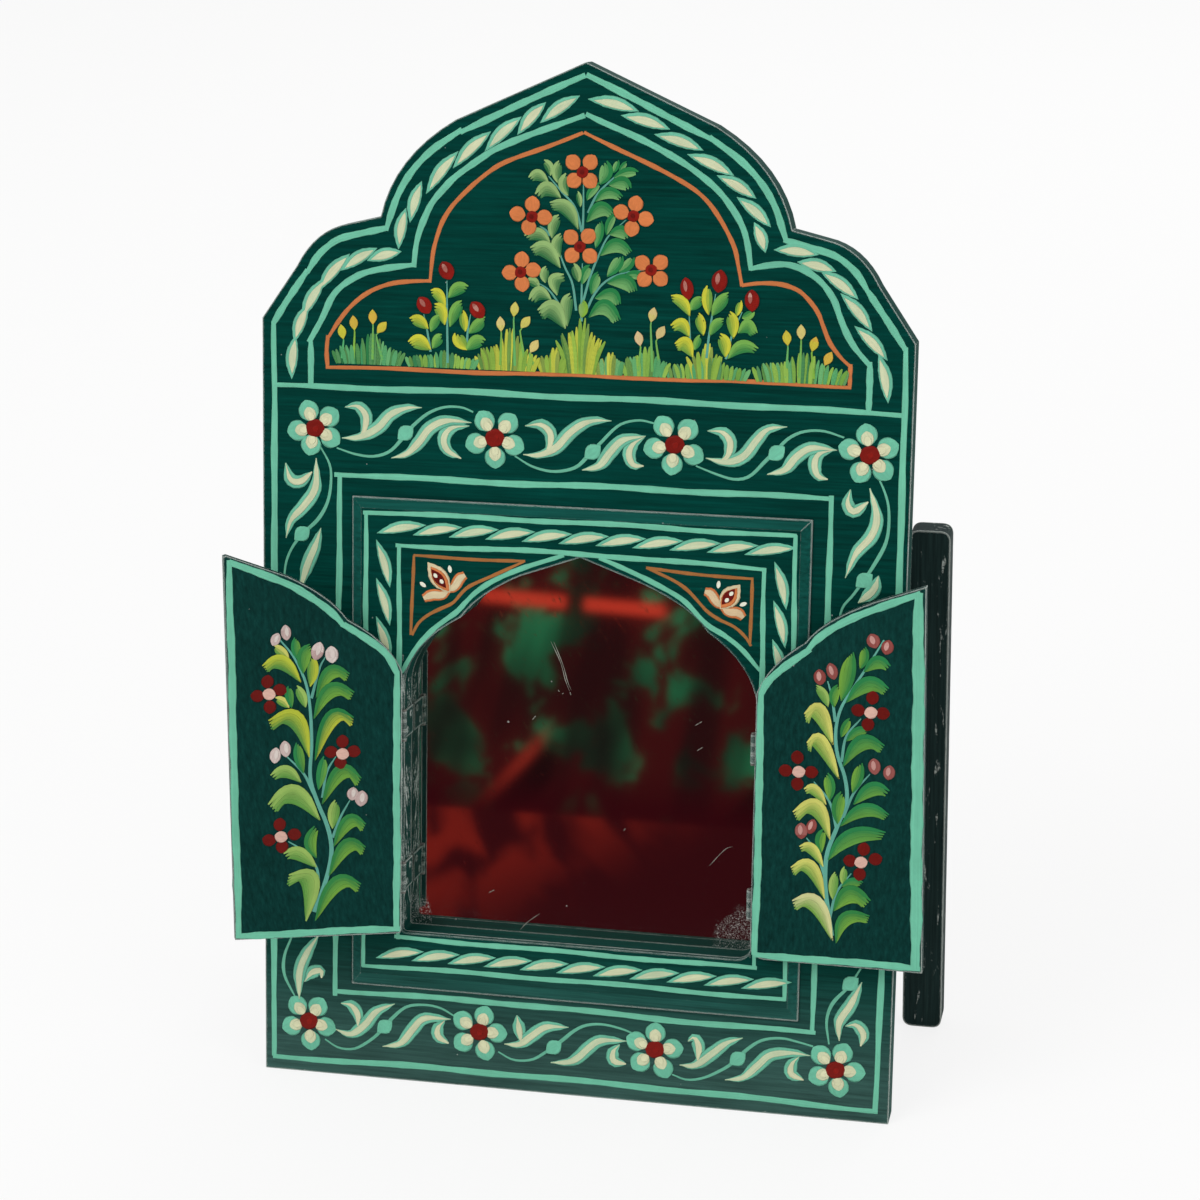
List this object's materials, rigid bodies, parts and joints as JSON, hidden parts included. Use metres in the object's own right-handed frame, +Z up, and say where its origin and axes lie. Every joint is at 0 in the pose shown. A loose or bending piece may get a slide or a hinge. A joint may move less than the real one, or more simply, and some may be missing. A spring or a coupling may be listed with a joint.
{
  "type": "shutter mirror",
  "caption": "Leaning table mirror: a lobed board with a raised frame round an arched niche, two shutters hinged at the niche and folding gates behind that hold it up.",
  "frame": {"origin": "middle of the base board's planed foot, on the table", "axes": "+Z straight up from the table, front facing -Y, +X to the viewer's right; the board leans back 10 degrees towards +Y"},
  "size_m": [0.2773, 0.1131, 0.3998],
  "materials": {
    "painted_wood": "dark teal-green paint under gloss varnish, with painted flowers, scrolls and mint border lines",
    "painted_moulding": "the same paint on the bevelled moulding, with a painted leaf border",
    "silvered_glass": "thin silvered glass, a little aged",
    "bare_wood": "bare pale hardwood, unvarnished",
    "painted_iron": "thin iron painted over in the board's green, worn at the edges",
    "bare_iron": "dull bare iron"
  },
  "bodies": {
    "panel": {"base_board": "painted_wood", "raised_frame": "painted_moulding", "mirror_glass": "silvered_glass", "cleat_bottom": "bare_wood", "cleat_top": "bare_wood", "cleat_left": "bare_wood", "cleat_right": "bare_wood", "backing_panel": "bare_wood", "backing_screw_1": "bare_iron", "backing_screw_2": "bare_iron", "backing_screw_3": "bare_iron", "backing_screw_4": "bare_iron", "backing_screw_5": "bare_iron", "backing_screw_6": "bare_iron", "batten_left": "painted_wood", "batten_right": "painted_wood", "hinge_left_lower_jamb_leaf": "painted_iron", "hinge_left_lower_pin": "painted_iron", "hinge_left_upper_jamb_leaf": "painted_iron", "hinge_left_upper_pin": "painted_iron", "hinge_right_lower_jamb_leaf": "painted_iron", "hinge_right_lower_pin": "painted_iron", "hinge_right_upper_jamb_leaf": "painted_iron", "hinge_right_upper_pin": "painted_iron", "gate_left_lower_batten_leaf": "bare_iron", "gate_left_lower_pin": "bare_iron", "gate_left_upper_batten_leaf": "bare_iron", "gate_left_upper_pin": "bare_iron", "gate_right_lower_batten_leaf": "bare_iron", "gate_right_lower_pin": "bare_iron", "gate_right_upper_batten_leaf": "bare_iron", "gate_right_upper_pin": "bare_iron"},
    "shutter_left": {"shutter_left": "painted_wood", "hinge_left_lower_shutter_leaf": "painted_iron", "hinge_left_upper_shutter_leaf": "painted_iron"},
    "shutter_right": {"shutter_right": "painted_wood", "hinge_right_lower_shutter_leaf": "painted_iron", "hinge_right_upper_shutter_leaf": "painted_iron"},
    "gate_left": {"gate_left_stile": "painted_wood", "gate_left_rail_lower": "painted_wood", "gate_left_rail_upper": "painted_wood", "gate_left_post": "painted_wood", "gate_left_lower_gate_leaf": "bare_iron", "gate_left_upper_gate_leaf": "bare_iron"},
    "gate_right": {"gate_right_stile": "painted_wood", "gate_right_rail_lower": "painted_wood", "gate_right_rail_upper": "painted_wood", "gate_right_post": "painted_wood", "gate_right_lower_gate_leaf": "bare_iron", "gate_right_upper_gate_leaf": "bare_iron"}
  },
  "joints": [
    {"name": "shutter_left_swing", "type": "hinge", "parent": "panel", "child": "shutter_left", "pos_m": [-0.0684, 0.01146, 0.11568], "axis": [0, 0.1736, 0.9848], "range_deg": [-24, 156.7]},
    {"name": "shutter_right_swing", "type": "hinge", "parent": "panel", "child": "shutter_right", "pos_m": [0.0706, 0.01146, 0.11568], "axis": [0, -0.1736, -0.9848], "range_deg": [-2, 179]},
    {"name": "gate_left_fold", "type": "hinge", "parent": "panel", "child": "gate_left", "pos_m": [-0.10955, 0.0369, 0.1246], "axis": [0, -0.1736, -0.9848], "range_deg": [0, 90]},
    {"name": "gate_right_fold", "type": "hinge", "parent": "panel", "child": "gate_right", "pos_m": [0.10955, 0.0369, 0.1246], "axis": [0, 0.1736, 0.9848], "range_deg": [0, 90]}
  ]
}
